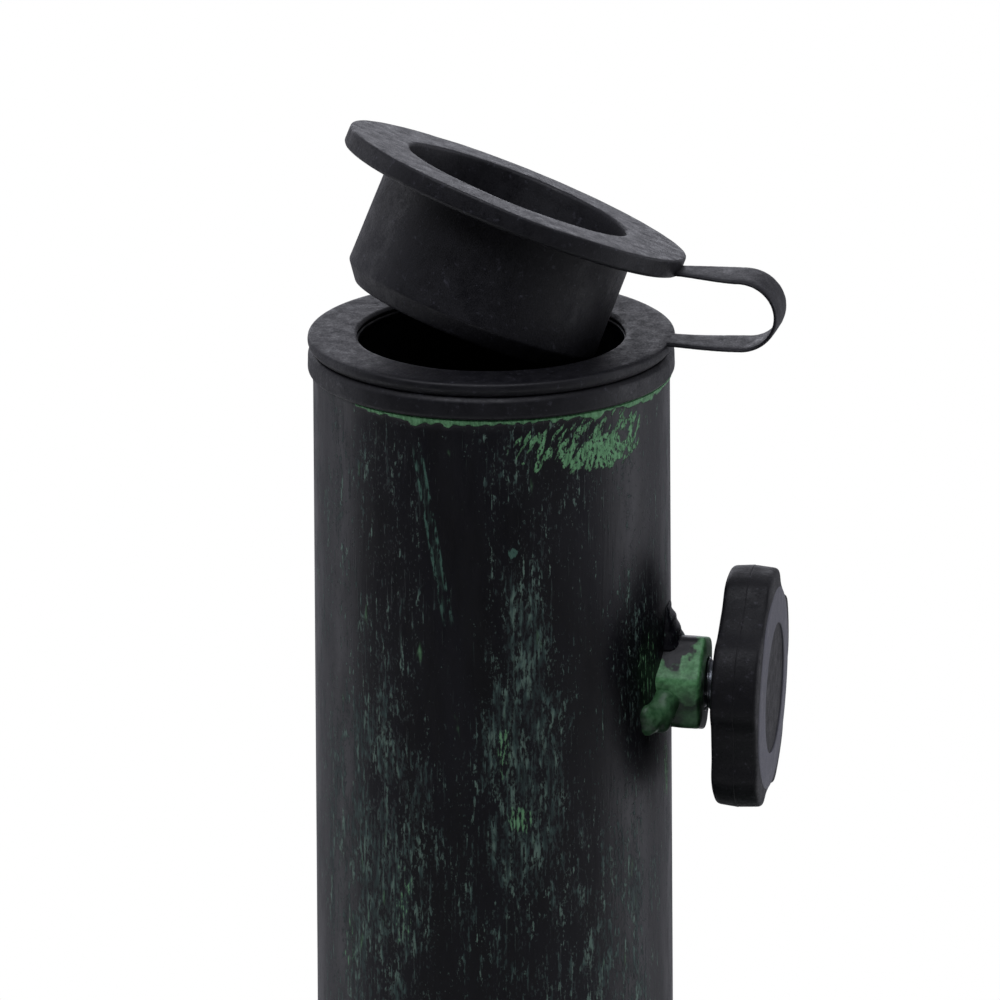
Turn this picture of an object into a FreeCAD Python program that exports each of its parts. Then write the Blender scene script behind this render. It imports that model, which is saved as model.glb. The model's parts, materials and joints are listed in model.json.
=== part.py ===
"""Free-standing patio umbrella base: a round cast-iron plate, a bolted steel tube with a clamp
knob, a plastic reducer in the tube's mouth and a tethered rain cap.
Frame: +Z up, origin on the floor under the tube's axis, +X towards the clamp knob and the strap."""
import FreeCAD
import Part
import math
import os

from FreeCAD import Rotation, Vector

X_AXIS, Y_AXIS, Z_AXIS = Vector(1, 0, 0), Vector(0, 1, 0), Vector(0, 0, 1)
ORIGIN = Vector(0, 0, 0)

# Driving dimensions, millimetres
MOUTH_Z = 330.0                 # top face of the mouth, above the floor
TUBE_R, TUBE_WALL = 27.0, 2.0   # 54 x 2 mm steel tube, takes a 48 mm pole when the reducer is out
POLE_R = 19.0                   # 38 mm pole, guided by the reducer
BASE_R = 225.0                  # cast plate
FOOT_H = 5.0                    # rubber feet lift the plate off the floor
CLAMP_Z = MOUTH_Z - 53.4        # where the clamp's axis crosses the tube's axis
CLAMP_DROOP = 1.9               # the nut is welded on slightly askew, degrees
COLLAR_TURN = -3.2              # direction of the strap about Z, degrees
CAP_TILT, CAP_TILT_AZIMUTH = 23.4, 28.4    # stored pose of the half-open cap, degrees
CAP_OFFSET, CAP_RISE = 4.6, 21.8         # centre of its top face: off the tube's axis, above the mouth

# Cast plate
RIM_TOP = 17.0                  # top of the plate's rim
PLATE_TOP = 26.0                # top of the plate where the hub starts
HUB_R = 68.0                    # foot of the hub
SOCKET_R, SOCKET_TOP = 35.0, 66.0
WEB_BOTTOM, WEB_TOP = 19.0, 29.0   # web that the tube stands on
BOLT_RECESS_R = 20.0
FOOT_COUNT, FOOT_CIRCLE_R, FOOT_R, STEM_R, STEM_H = 5, 190.0, 13.0, 4.0, 7.0

# M12 bolt from below, M8 clamp screw
BOLT_R, BOLT_HEAD_AF, BOLT_HEAD_H, BOLT_END_Z = 6.0, 19.0, 7.5, 49.0
FLAT_WASHER_R, FLAT_WASHER_T = 12.0, 2.5
SPRING_WASHER_R, SPRING_WASHER_T, SPRING_GAP = 10.3, 2.8, 1.6
FOOT_PLATE_T = 12.0
STUD_R, THREAD_PLAY = 4.0, 0.06
NUT_AF, NUT_FACE_X, NUT_TURN = 14.0, 32.7, 13.0
STUD_TIP_X = 19.3               # end of the stud with the knob screwed home
PAD_R, PAD_X, PAD_STEM_R, PAD_STEM_L = 3.2, 17.3, 1.5, 4.0

# Mouth
LIP_H, LIP_FLARE = 2.0, 0.7     # rolled lip of the tube
RING_T, RING_R, RING_HOLE_R = 2.4, 27.9, 20.1
SLEEVE_FLANGE_R, SLEEVE_FLANGE_Z = 27.8, MOUTH_Z - 5.9
SLEEVE_LENGTH = 46.0
CAP_POCKET_R, CAP_POCKET_Z = 22.7, MOUTH_Z - 21.5
GUIDE_R = POLE_R + 0.25

# Rain cap
CAP_R, CAP_T = 27.3, 3.1
PLUG_R, PLUG_END_R, PLUG_TIP_R = 19.8, 20.0, 17.8
PLUG_H, PLUG_CHAMFER_H = 16.1, 2.9
CUP_R, CUP_END_R, CUP_FLOOR_T = 17.6, 16.4, 2.1

# Strap: lower leg, round bend, upper leg
STRAP_T, STRAP_W, STRAP_END_W = 0.7, 8.0, 5.8
BEND_X, BEND_R = 38.9, 5.65
STRAP_LOW_Z = MOUTH_Z + 0.05
STRAP_HIGH_Z = STRAP_LOW_Z + 2 * BEND_R

# Knob
KNOB_R, KNOB_LOBES, KNOB_LOBE_DEPTH, KNOB_TURN = 18.6, 5, 2.2, 36.0
KNOB_FACE_X, KNOB_T, KNOB_HUB_T = 35.6, 7.2, 1.6
FACE_DISC_R, FACE_DISC_T, FACE_RECESS_R, FACE_RECESS_D = 14.6, 2.0, 9.8, 1.3

parts = {}


def v(x, y, z=0.0):
    return Vector(x, y, z)


def chain(points):
    """A closed wire through (x, z) points in the XZ plane; a third value bulges the edge to the next
    point into an arc, as the height of the arc over its chord, to the left of the direction."""
    edges = []
    for a, b in zip(points, points[1:] + points[:1]):
        start, end = v(a[0], 0, a[1]), v(b[0], 0, b[1])
        if len(a) == 2:
            edges.append(Part.makeLine(start, end))
            continue
        run = end - start
        left = v(-run.z, 0, run.x).normalize()
        edges.append(Part.Arc(start, (start + end) * 0.5 + left * a[2], end).toShape())
    return Part.Wire(edges)


def turned(points):
    """Solid of revolution about Z of a closed (radius, z) outline."""
    return Part.Face(chain(points)).revolve(ORIGIN, Z_AXIS, 360)


def cylinder(r, z0, z1, x=0.0, y=0.0):
    return Part.makeCylinder(r, z1 - z0, v(x, y, z0))


def on_clamp(x):
    """Point of the clamp's axis at the distance x from the tube's axis."""
    droop = math.radians(CLAMP_DROOP)
    return v(x * math.cos(droop), 0, CLAMP_Z - x * math.sin(droop))


def along_clamp(r, x0, x1, r_end=None):
    """Cylinder, or cone with a second radius, on the clamp's axis."""
    direction = on_clamp(1) - on_clamp(0)
    if r_end is None:
        return Part.makeCylinder(r, x1 - x0, on_clamp(x0), direction)
    return Part.makeCone(r, r_end, x1 - x0, on_clamp(x0), direction)


def hexagon(across_flats, turn=0.0):
    r = across_flats / math.sqrt(3)
    corners = [math.radians(turn + 60 * k) for k in range(6)]
    points = [v(r * math.cos(c), r * math.sin(c)) for c in corners]
    return Part.Face(Part.makePolygon(points + points[:1]))


def chamfered_hex(across_flats, height, turn=0.0, top=True, bottom=False):
    """Hexagon prism from z = 0 up with its corners turned off, as on a nut or a bolt head."""
    r = across_flats / math.sqrt(3)
    cut = 0.18 * (r - across_flats / 2) * 3
    rim = r - cut * 1.7
    low = (rim, 0.0) if bottom else (r, 0.0)
    high = (rim, height) if top else (r, height)
    outline = [(0.0, 0.0), low]
    if bottom:
        outline.append((r, cut))
    if top:
        outline.append((r, height - cut))
    outline += [high, (0.0, height)]
    prism = hexagon(across_flats, turn).extrude(v(0, 0, height))
    return prism.common(turned(outline))


def onto_clamp_axis(shape, x):
    """Turns a shape built on +Z to point along the clamp's axis, from the distance x on it."""
    placed = shape.copy()
    placed.rotate(ORIGIN, Y_AXIS, 90 + CLAMP_DROOP)
    placed.translate(on_clamp(x))
    return placed


def base_casting():
    """Plate with a rounded rim, raised beads, a flared hub and the socket that the tube stands in."""
    bead = 2.2
    outline = [
        (BOLT_RECESS_R, FOOT_H), (BASE_R - 4, FOOT_H, -1.2), (BASE_R, FOOT_H + 4),
        (BASE_R, RIM_TOP - 5, -1.5), (BASE_R - 5, RIM_TOP), (BASE_R - 14, RIM_TOP + 1.0),
        (BASE_R - 15, RIM_TOP + 1.0, -bead), (BASE_R - 22, RIM_TOP + 1.6),
        (HUB_R + 16, PLATE_TOP - 0.6), (HUB_R + 15, PLATE_TOP - 0.4, -bead), (HUB_R + 7, PLATE_TOP),
        (HUB_R, PLATE_TOP, 7.5), (SOCKET_R + 2, SOCKET_TOP - 14, -0.01),
        (SOCKET_R + 2, SOCKET_TOP - 12, -2.0), (SOCKET_R + 2, SOCKET_TOP - 6),
        (SOCKET_R, SOCKET_TOP - 5), (SOCKET_R, SOCKET_TOP - 1.5, -0.6), (SOCKET_R - 1.5, SOCKET_TOP),
        (TUBE_R + 3.2, SOCKET_TOP), (TUBE_R + 3.2, SOCKET_TOP - 4), (TUBE_R + 0.15, SOCKET_TOP - 4),
        (TUBE_R + 0.15, WEB_TOP), (BOLT_R + 0.6, WEB_TOP), (BOLT_R + 0.6, WEB_BOTTOM),
        (BOLT_RECESS_R, WEB_BOTTOM),
    ]
    casting = turned(outline)
    for x, y in foot_places():
        casting = casting.cut(cylinder(STEM_R, FOOT_H - 1, FOOT_H + STEM_H + 0.5, x, y))
    return casting


def foot_places():
    turns = [math.radians(36 + 360 * k / FOOT_COUNT) for k in range(FOOT_COUNT)]
    return [(FOOT_CIRCLE_R * math.cos(t), FOOT_CIRCLE_R * math.sin(t)) for t in turns]


def base_feet():
    """Rubber feet with stems pushed into blind holes of the casting."""
    foot = turned([
        (0.0, 0.0), (FOOT_R - 1.5, 0.0, -0.3), (FOOT_R, 1.2), (FOOT_R - 0.6, FOOT_H),
        (STEM_R - 0.05, FOOT_H), (STEM_R - 0.4, FOOT_H + STEM_H), (0.0, FOOT_H + STEM_H),
    ])
    feet = []
    for x, y in foot_places():
        placed = foot.copy()
        placed.translate(v(x, y))
        feet.append(placed)
    return Part.makeCompound(feet)


def tube():
    """Steel tube with its top edge rolled out into a small lip, and a hole for the clamp stud."""
    top = SLEEVE_FLANGE_Z
    bore = TUBE_R - TUBE_WALL
    shell = turned([
        (bore, WEB_TOP), (TUBE_R, WEB_TOP), (TUBE_R, top - LIP_H), (TUBE_R + LIP_FLARE, top - 0.6),
        (TUBE_R + LIP_FLARE - 0.2, top), (bore, top),
    ])
    return shell.cut(along_clamp(STUD_R + 0.5, bore - 3, TUBE_R + 3))


def tube_foot_plate():
    """Threaded disc welded inside the tube's foot; the base bolt pulls on it."""
    disc = turned([
        (BOLT_R, WEB_TOP), (TUBE_R - TUBE_WALL, WEB_TOP),
        (TUBE_R - TUBE_WALL, WEB_TOP + FOOT_PLATE_T - 1.5),
        (TUBE_R - TUBE_WALL - 1.5, WEB_TOP + FOOT_PLATE_T), (BOLT_R, WEB_TOP + FOOT_PLATE_T),
    ])
    return disc


def base_bolt():
    head_top = WEB_BOTTOM - FLAT_WASHER_T - SPRING_WASHER_T
    head = chamfered_hex(BOLT_HEAD_AF, BOLT_HEAD_H, top=False, bottom=True)
    head.translate(v(0, 0, head_top - BOLT_HEAD_H))
    shank_r = BOLT_R - 0.02
    shank = turned([
        (0.0, head_top - 1), (shank_r, head_top - 1), (shank_r, BOLT_END_Z - 1.2),
        (shank_r - 1.2, BOLT_END_Z), (0.0, BOLT_END_Z),
    ])
    return head.fuse(shank).removeSplitter()


def washer(r, z0, thickness):
    hole = BOLT_R + 0.4
    return cylinder(r, z0, z0 + thickness).cut(cylinder(hole, z0 - 1, z0 + thickness + 1))


def spring_washer():
    """Square-section washer with one slanted cut through the ring."""
    z0 = WEB_BOTTOM - FLAT_WASHER_T - SPRING_WASHER_T
    slot = Part.makeBox(SPRING_WASHER_R, SPRING_GAP, 3 * SPRING_WASHER_T)
    slot.translate(v(2.0, -SPRING_GAP / 2, -SPRING_WASHER_T))
    slot.rotate(v(8, 0, SPRING_WASHER_T / 2), X_AXIS, 25)
    slot.translate(v(0, 0, z0))
    return washer(SPRING_WASHER_R, z0, SPRING_WASHER_T).cut(slot)


def socket_seal():
    """Rubber ring in the step at the socket's mouth; keeps rain off the bolted joint."""
    inner, outer = TUBE_R + 0.02, TUBE_R + 3.2
    return turned([
        (inner, SOCKET_TOP - 4), (outer, SOCKET_TOP - 4), (outer, SOCKET_TOP),
        (outer - 0.4, SOCKET_TOP + 1.0, -0.4), (inner, SOCKET_TOP + 2.2),
    ])


def weld_nut():
    """M8 nut welded to the tube over the clamp hole, its back shaped to the tube."""
    length = NUT_FACE_X - TUBE_R + 1.5
    nut = chamfered_hex(NUT_AF, length, NUT_TURN)
    nut = onto_clamp_axis(nut, NUT_FACE_X - length)
    nut = nut.cut(along_clamp(STUD_R + THREAD_PLAY, NUT_FACE_X - length - 1, NUT_FACE_X + 1))
    return nut.cut(cylinder(TUBE_R, CLAMP_Z - 20, CLAMP_Z + 20))


def weld_bead(profile, half_width):
    """Solid of a weld run beside the nut: an (x, z) outline swept across Y and rounded at the ends."""
    slab = Part.Face(chain(profile)).extrude(v(0, 2 * half_width))
    slab.translate(v(0, -half_width))
    return slab.cut(cylinder(TUBE_R, CLAMP_Z - 30, CLAMP_Z + 30))


def weld_bead_upper():
    """Fillet from the tube down onto the nut's upper flat."""
    nut_top = CLAMP_Z + NUT_AF / 2 + 0.35
    fillet = weld_bead([
        (TUBE_R - 1.5, nut_top + 4.6), (TUBE_R + 0.3, nut_top + 4.4, 0.35), (TUBE_R + 2.4, nut_top),
        (TUBE_R + 2.4, nut_top - 1.4), (TUBE_R - 1.5, nut_top - 1.4),
    ], 3.2)
    return fillet.cut(hex_zone())


def weld_bead_lower():
    """Blob of weld on the nut's lower front corner."""
    blob = Part.makeSphere(3.1, v(TUBE_R - 1.6, -7.0, CLAMP_Z - 3.6))
    blob = blob.fuse(Part.makeSphere(2.5, v(TUBE_R - 3.6, -9.4, CLAMP_Z - 5.6)))
    blob = blob.cut(cylinder(TUBE_R, CLAMP_Z - 30, CLAMP_Z + 30)).cut(hex_zone())
    return max(blob.Solids, key=lambda s: s.Volume)


def hex_zone():
    """The space that the weld nut fills."""
    prism = hexagon(NUT_AF, NUT_TURN).extrude(v(0, 0, 14))
    return onto_clamp_axis(prism, NUT_FACE_X - 14)


def reducer_sleeve():
    """Plastic reducer: a flange on the tube's lip, a pocket for the cap's plug, a guide for the pole."""
    top = MOUTH_Z - RING_T
    spigot_r = TUBE_R - TUBE_WALL - 0.1
    bottom = MOUTH_Z - SLEEVE_LENGTH
    return turned([
        (CAP_POCKET_R, top), (SLEEVE_FLANGE_R - 0.5, top, -0.25), (SLEEVE_FLANGE_R, top - 1.2),
        (SLEEVE_FLANGE_R, SLEEVE_FLANGE_Z + 0.3), (SLEEVE_FLANGE_R - 0.3, SLEEVE_FLANGE_Z),
        (spigot_r, SLEEVE_FLANGE_Z), (spigot_r, bottom + 2), (spigot_r - 1, bottom),
        (GUIDE_R + 0.8, bottom), (GUIDE_R, bottom + 0.8), (GUIDE_R, CAP_POCKET_Z - 3.4),
        (CAP_POCKET_R, CAP_POCKET_Z),
    ])


def tether_ring():
    """Soft ring on top of the reducer; its hole is the mouth, and the strap grows from its rim."""
    low = MOUTH_Z - RING_T
    ring = turned([
        (RING_HOLE_R, low), (RING_R - 0.9, low, -0.08), (RING_R - 0.5, low + 0.35),
        (RING_R, MOUTH_Z - 0.6, -0.2), (RING_R - 0.5, MOUTH_Z), (RING_HOLE_R + 0.5, MOUTH_Z, -0.15),
        (RING_HOLE_R, MOUTH_Z - 0.5),
    ])
    return ring


def towards_strap(shape):
    """Turns a shape built along +X about the tube's axis into the strap's direction."""
    shape.rotate(ORIGIN, Z_AXIS, COLLAR_TURN)
    return shape


def strap_plan(x0, x1, w0, w1, z):
    """A flat leg of the strap, from one width to the other, mid-plane at z."""
    corners = [v(x0, -w0 / 2, z), v(x1, -w1 / 2, z), v(x1, w1 / 2, z), v(x0, w0 / 2, z)]
    leg = Part.Face(Part.makePolygon(corners + corners[:1])).extrude(v(0, 0, STRAP_T))
    leg.translate(v(0, 0, -STRAP_T / 2))
    return leg


def strap_lower():
    leg = strap_plan(RING_R - 1.2, BEND_X, STRAP_END_W, STRAP_W, STRAP_LOW_Z)
    return towards_strap(leg).cut(tether_ring())


def strap_bend():
    """Half turn of the strap that bulges out beside the mouth."""
    mid_z = STRAP_LOW_Z + BEND_R
    half = STRAP_T / 2
    outer = Part.makeCylinder(BEND_R + half, STRAP_W, v(BEND_X, -STRAP_W / 2, mid_z), Y_AXIS)
    inner = Part.makeCylinder(BEND_R - half, STRAP_W, v(BEND_X, -STRAP_W / 2, mid_z), Y_AXIS)
    right = Part.makeBox(20, STRAP_W, 40, v(BEND_X + 0.05, -STRAP_W / 2, mid_z - 20))
    return towards_strap(outer.cut(inner).common(right))


def strap_upper():
    """Leg from the bend to the rim of the stored cap."""
    leg = strap_plan(CAP_R - 3, BEND_X, STRAP_END_W, STRAP_W, STRAP_HIGH_Z)
    outside = towards_strap(leg).cut(cap_blank())
    return max(outside.Solids, key=lambda s: s.Volume)


def cap_placement():
    a = math.radians(CAP_TILT_AZIMUTH)
    top = v(CAP_OFFSET * math.cos(a), CAP_OFFSET * math.sin(a), MOUTH_Z + CAP_RISE)
    return FreeCAD.Placement(top, Rotation(v(-math.sin(a), math.cos(a)), CAP_TILT))


def cap_blank():
    """The cap's outer shape as one solid, in its stored pose."""
    blank = turned([(0.0, 0.0), (CAP_R, 0.0), (CAP_R, -CAP_T), (PLUG_R, -CAP_T), (PLUG_R, -20), (0.0, -20)])
    blank.Placement = cap_placement()
    return blank


def rain_cap():
    """Hollow plug with a flange: pushed into the mouth when no pole is fitted."""
    plug_end = -CAP_T - PLUG_H
    tip = plug_end - PLUG_CHAMFER_H
    cap = turned([
        (0.0, tip), (PLUG_TIP_R, tip), (PLUG_END_R, plug_end), (PLUG_R, -CAP_T),
        (CAP_R - 0.6, -CAP_T, -0.18), (CAP_R, -CAP_T + 0.6), (CAP_R, -0.8, -0.23), (CAP_R - 0.8, 0.0),
        (CUP_R + 0.6, 0.0, -0.18), (CUP_R, -0.6), (CUP_END_R, tip + CUP_FLOOR_T + 1.5, 0.4),
        (CUP_END_R - 1.5, tip + CUP_FLOOR_T), (0.0, tip + CUP_FLOOR_T),
    ])
    cap.Placement = cap_placement()
    return cap


def clamp_stud():
    """M8 screw with a hexagon head moulded into the knob."""
    head_x = KNOB_FACE_X + KNOB_HUB_T
    shank_r = STUD_R - THREAD_PLAY / 2
    shank = along_clamp(shank_r, STUD_TIP_X + 1, head_x)
    nose = along_clamp(STUD_R - 1.0, STUD_TIP_X, STUD_TIP_X + 1, shank_r)
    head = onto_clamp_axis(hexagon(12.9).extrude(v(0, 0, 3.4)), head_x)
    stud = shank.fuse([nose, head]).removeSplitter()
    return stud.cut(along_clamp(PAD_STEM_R + THREAD_PLAY, STUD_TIP_X - 1, STUD_TIP_X + PAD_STEM_L))


def clamp_pad():
    """Nylon pad that swivels on the stud's end, so that the pole isn't scored."""
    disc_end = STUD_TIP_X - 0.3
    disc = along_clamp(PAD_R, PAD_X + 0.4, disc_end)
    nose = along_clamp(PAD_R - 0.4, PAD_X, PAD_X + 0.4, PAD_R)
    stem = along_clamp(PAD_STEM_R, disc_end, STUD_TIP_X + PAD_STEM_L - 0.4)
    return disc.fuse([nose, stem]).removeSplitter()


def lobed_outline(r, lobes, depth, turn):
    """Star outline in the XY plane: outer arcs joined by hollow arcs."""
    edges = []
    for k in range(lobes):
        mid = math.radians(turn) + 2 * math.pi * k / lobes
        step = math.pi / lobes
        angles = [mid - 0.64 * step, mid, mid + 0.64 * step, mid + step, mid + 1.36 * step]
        radii = [r - 0.15 * depth, r, r - 0.15 * depth, r - depth, r - 0.15 * depth]
        p = [v(q * math.cos(a), q * math.sin(a)) for q, a in zip(radii, angles)]
        edges += [Part.Arc(p[0], p[1], p[2]).toShape(), Part.Arc(p[2], p[3], p[4]).toShape()]
    return Part.Face(Part.Wire(edges))


def knob_grip():
    """Lobed plastic knob: a dished front that holds the face disc, and the stud's head inside."""
    grip = lobed_outline(KNOB_R, KNOB_LOBES, KNOB_LOBE_DEPTH, KNOB_TURN).extrude(v(0, 0, KNOB_T))
    edge = 1.1
    body = turned([
        (0.0, 0.0), (KNOB_R - edge, 0.0, -0.35), (KNOB_R + 0.1, edge), (KNOB_R + 0.1, KNOB_T - edge, -0.35),
        (KNOB_R - edge, KNOB_T), (FACE_DISC_R + 0.05, KNOB_T), (FACE_DISC_R + 0.05, KNOB_T - FACE_DISC_T),
        (0.0, KNOB_T - FACE_DISC_T),
    ])
    grip = onto_clamp_axis(grip.common(body), KNOB_FACE_X)
    head_x = KNOB_FACE_X + KNOB_HUB_T
    head_space = onto_clamp_axis(hexagon(13.0).extrude(v(0, 0, 10)), head_x)
    return grip.cut(along_clamp(STUD_R, KNOB_FACE_X - 1, head_x + 1)).cut(head_space)


def knob_face():
    """Disc snapped into the knob's front, with a shallow round recess."""
    disc = turned([
        (0.0, 0.0), (FACE_DISC_R, 0.0), (FACE_DISC_R, FACE_DISC_T + 0.2, -0.1),
        (FACE_DISC_R - 0.6, FACE_DISC_T + 0.5), (FACE_RECESS_R + 0.3, FACE_DISC_T + 0.7),
        (FACE_RECESS_R, FACE_DISC_T - FACE_RECESS_D + 0.7), (0.0, FACE_DISC_T - FACE_RECESS_D + 0.7),
    ])
    return onto_clamp_axis(disc, KNOB_FACE_X + KNOB_T - FACE_DISC_T)


parts["base_casting"] = base_casting()
parts["base_feet"] = base_feet()
parts["tube"] = tube()
parts["tube_foot_plate"] = tube_foot_plate()
parts["base_bolt"] = base_bolt()
parts["flat_washer"] = washer(FLAT_WASHER_R, WEB_BOTTOM - FLAT_WASHER_T, FLAT_WASHER_T)
parts["spring_washer"] = spring_washer()
parts["socket_seal"] = socket_seal()
parts["weld_nut"] = weld_nut()
parts["weld_bead_upper"] = weld_bead_upper()
parts["weld_bead_lower"] = weld_bead_lower()
parts["reducer_sleeve"] = reducer_sleeve()
parts["tether_ring"] = tether_ring()
parts["strap_lower"] = strap_lower()
parts["strap_bend"] = strap_bend()
parts["strap_upper"] = strap_upper()
parts["rain_cap"] = rain_cap()
parts["clamp_stud"] = clamp_stud()
parts["clamp_pad"] = clamp_pad()
parts["knob_grip"] = knob_grip()
parts["knob_face"] = knob_face()

os.makedirs("parts", exist_ok=True)
for name, shape in parts.items():
    if not shape.isValid():
        print(name, "is not valid")
    print(name, len(shape.Solids), "solids", round(shape.Volume), "mm3", shape.BoundBox)
    shape.exportStep(os.path.join("parts", name + ".step"))
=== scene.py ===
"""Looks of the patio umbrella base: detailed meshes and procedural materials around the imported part.
Frame: metres, +Z up, origin on the floor under the tube's axis, +X towards the clamp knob."""
import json
import math

import bmesh
import bpy
from mathutils import Matrix, Vector, noise

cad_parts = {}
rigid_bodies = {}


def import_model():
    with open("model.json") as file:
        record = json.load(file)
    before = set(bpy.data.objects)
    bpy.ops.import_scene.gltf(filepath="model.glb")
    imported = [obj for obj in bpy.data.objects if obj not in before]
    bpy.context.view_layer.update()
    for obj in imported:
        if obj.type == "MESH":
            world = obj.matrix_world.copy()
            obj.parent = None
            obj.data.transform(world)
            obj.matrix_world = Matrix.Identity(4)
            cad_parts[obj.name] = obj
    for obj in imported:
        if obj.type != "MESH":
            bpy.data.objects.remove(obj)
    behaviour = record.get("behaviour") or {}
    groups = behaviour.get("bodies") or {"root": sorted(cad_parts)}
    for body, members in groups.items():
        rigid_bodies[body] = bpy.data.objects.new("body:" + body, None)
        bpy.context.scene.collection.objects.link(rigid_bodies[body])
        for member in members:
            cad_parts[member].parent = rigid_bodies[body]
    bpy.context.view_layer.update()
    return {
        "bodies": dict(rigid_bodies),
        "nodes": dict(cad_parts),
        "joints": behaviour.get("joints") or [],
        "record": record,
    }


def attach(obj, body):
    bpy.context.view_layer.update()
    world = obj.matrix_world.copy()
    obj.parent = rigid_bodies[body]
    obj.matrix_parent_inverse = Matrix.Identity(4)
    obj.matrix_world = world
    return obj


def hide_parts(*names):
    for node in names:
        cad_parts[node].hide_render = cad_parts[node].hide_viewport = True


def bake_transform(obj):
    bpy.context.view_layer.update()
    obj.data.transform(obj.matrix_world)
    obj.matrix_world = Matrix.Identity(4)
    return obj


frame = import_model()
NODES = frame["nodes"]
MM = 0.001

# Dimensions shared with the CAD part, millimetres and degrees
MOUTH_Z = 330.0
TUBE_R, TUBE_WALL = 27.0, 2.0
CLAMP_Z, CLAMP_DROOP = 276.6, 1.9
COLLAR_TURN = -3.2
CAP_TILT, CAP_TILT_AZIMUTH, CAP_OFFSET, CAP_RISE = 23.4, 28.4, 4.6, 21.8
CAP_R, CAP_T = 27.3, 3.1
BEND_X, BEND_R, STRAP_T = 38.9, 5.65, 0.7
NUT_AF, NUT_FACE_X, NUT_TURN = 14.0, 32.7, 13.0
STUD_TIP_X, STUD_R = 19.3, 4.0
KNOB_R, KNOB_LOBES, KNOB_LOBE_DEPTH, KNOB_TURN = 18.6, 5, 2.2, 36.0
KNOB_FACE_X, KNOB_T = 35.6, 7.2
HUB_R, PETALS, HUB_FLUTES = 68.0, 16, 24
TUBE_FOOT_Z = 29.0
COLLAR_DROP = 5.9
TUBE_TOP = MOUTH_Z - COLLAR_DROP

# Dimensions of the visual pieces alone, millimetres
LIP_BAND = 9.0
NUT_BACK_X = 24.5
STRAP_ROOT_X = 27.55


# ---------------------------------------------------------------- meshes

def fillet(corners, steps=5, closed=True):
    """Outline through (r, z, radius) corners, each rounded by its radius."""
    points = []
    count = len(corners)
    for i, (r, z, radius) in enumerate(corners):
        end = not closed and i in (0, count - 1)
        if radius == 0 or end:
            points.append((r, z))
            continue
        corner = Vector((r, z))
        before = Vector(corners[i - 1][:2]) - corner
        after = Vector(corners[(i + 1) % count][:2]) - corner
        start = corner + before.normalized() * min(radius, before.length * 0.49)
        finish = corner + after.normalized() * min(radius, after.length * 0.49)
        for k in range(steps + 1):
            t = k / steps
            q = start * (1 - t) ** 2 + corner * (2 * t * (1 - t)) + finish * t * t
            points.append((q.x, q.y))
    return points


def densify(points, step, closed=True):
    """The same outline with points added so that no run is longer than step."""
    out = []
    pairs = zip(points, points[1:] + points[:1]) if closed else zip(points, points[1:])
    for a, b in pairs:
        runs = max(1, math.ceil(math.dist(a, b) / step))
        for k in range(runs):
            t = k / runs
            out.append((a[0] + (b[0] - a[0]) * t, a[1] + (b[1] - a[1]) * t))
    if not closed:
        out.append(points[-1])
    return out


def mesh_object(name, verts, faces, sharp=38.0):
    """Object in millimetres turned to metres, smooth apart from edges sharper than the angle."""
    mesh = bpy.data.meshes.new(name)
    mesh.from_pydata([(x * MM, y * MM, z * MM) for x, y, z in verts], [], faces)
    mesh.validate()
    mesh.update()
    for polygon in mesh.polygons:
        polygon.use_smooth = True
    mesh.set_sharp_from_angle(angle=math.radians(sharp))
    obj = bpy.data.objects.new(name, mesh)
    bpy.context.scene.collection.objects.link(obj)
    return obj


def lathe(name, outline, segments=192, closed=True, shape=None, sharp=38.0):
    """Surface of revolution about Z of an (r, z) outline; shape(angle, r, z) may move each point."""
    verts = []
    rows = len(outline)
    for k in range(segments):
        a = 2 * math.pi * k / segments
        for r, z in outline:
            if shape:
                r, z = shape(a, r, z)
            verts.append((r * math.cos(a), r * math.sin(a), z))
    faces = []
    last = rows if closed else rows - 1
    for k in range(segments):
        here, there = k * rows, (k + 1) % segments * rows
        for i in range(last):
            j = (i + 1) % rows
            faces.append((here + i, there + i, there + j, here + j))
    obj = mesh_object(name, verts, faces, sharp)
    weld_poles(obj, outline)
    return obj


def weld_poles(obj, outline):
    """Joins the points that fall together on the axis."""
    if min(r for r, z in outline) > 1e-6:
        return
    work = bmesh.new()
    work.from_mesh(obj.data)
    bmesh.ops.remove_doubles(work, verts=work.verts, dist=1e-7)
    work.to_mesh(obj.data)
    work.free()


def loft(name, radius_at, profile, segments=240, sharp=38.0):
    """Prism along Z with the outline radius_at(angle); the profile gives (inset, z) from axis to axis."""
    verts = []
    for k in range(segments):
        a = 2 * math.pi * k / segments
        edge = radius_at(a)
        for inset, z in profile:
            r = max(0.0, edge - inset) if inset < 90 else 100 - inset
            verts.append((r * math.cos(a), r * math.sin(a), z))
    rows = len(profile)
    faces = []
    for k in range(segments):
        here, there = k * rows, (k + 1) % segments * rows
        for i in range(rows - 1):
            faces.append((here + i, there + i, there + i + 1, here + i + 1))
    return mesh_object(name, verts, faces, sharp)


def grain(point, size):
    """Smooth noise from -1 to 1 with lumps about the given size, millimetres."""
    return noise.noise(Vector(point) / size)


# ---------------------------------------------------------------- materials

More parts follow.
